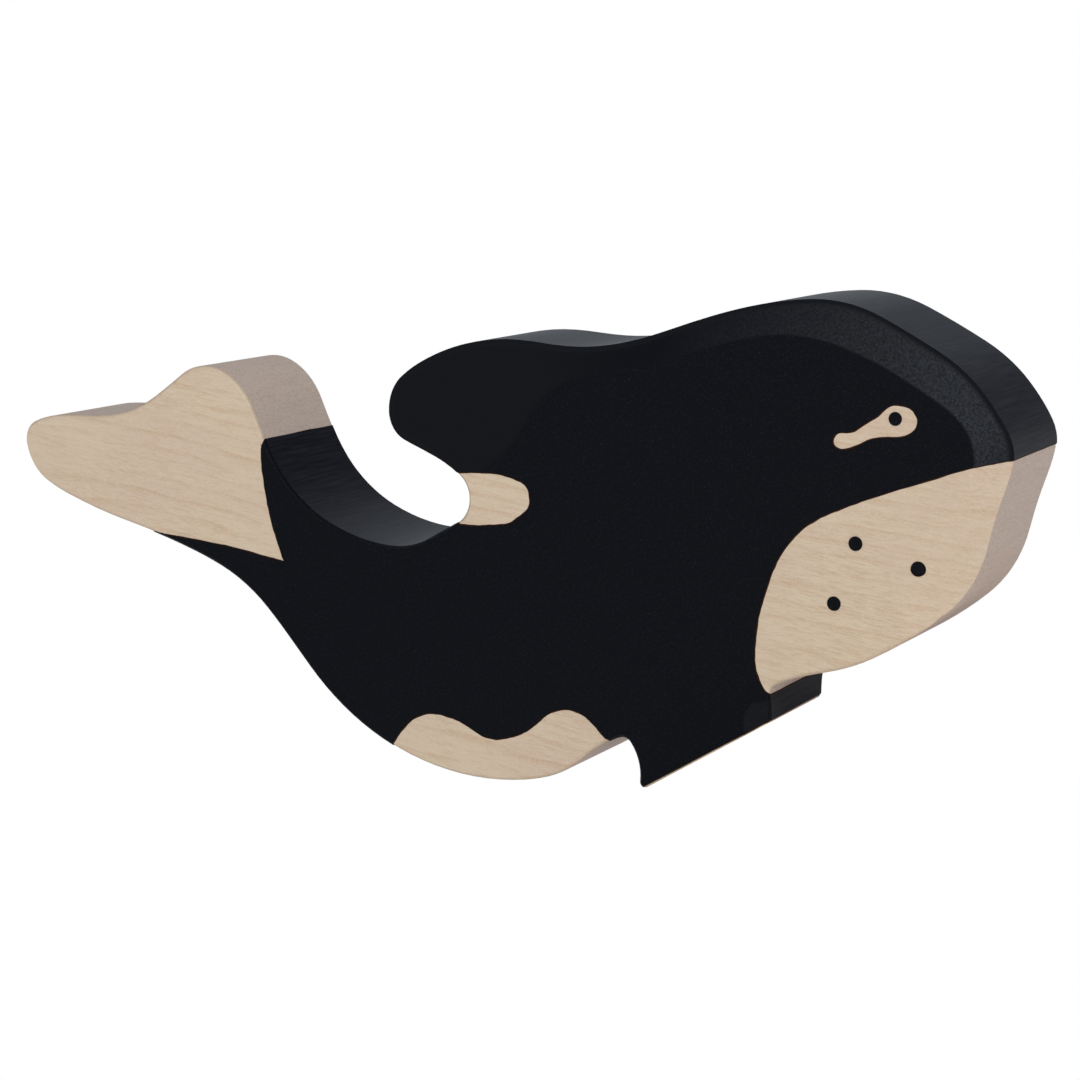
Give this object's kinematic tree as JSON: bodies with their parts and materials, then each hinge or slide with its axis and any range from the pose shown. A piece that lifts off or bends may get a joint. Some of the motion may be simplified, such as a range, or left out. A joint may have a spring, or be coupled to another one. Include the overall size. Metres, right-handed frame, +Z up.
{
  "type": "whale figurine",
  "caption": "Diving orca toy cut from a wooden plank, tail raised, standing on the flat foot of its pectoral fin; painted black with bare wood markings.",
  "frame": {"origin": "middle of the flat foot under the pectoral fin, on the floor", "axes": "+X towards the head, +Z up, Y through the plank's thickness"},
  "size_m": [0.2046, 0.0264, 0.1357],
  "materials": {
    "maple": "sanded, unvarnished pale maple with a faint grain",
    "black_paint": "thin matt water-based black paint with the wood's pores showing"
  },
  "bodies": {
    "root": {"wood_body": "maple", "black_coat": "black_paint", "right_eye": "black_paint", "right_snout_dot_upper": "black_paint", "right_snout_dot_front": "black_paint", "right_snout_dot_rear": "black_paint", "left_eye": "black_paint", "left_snout_dot_upper": "black_paint", "left_snout_dot_front": "black_paint", "left_snout_dot_rear": "black_paint"}
  },
  "joints": []
}
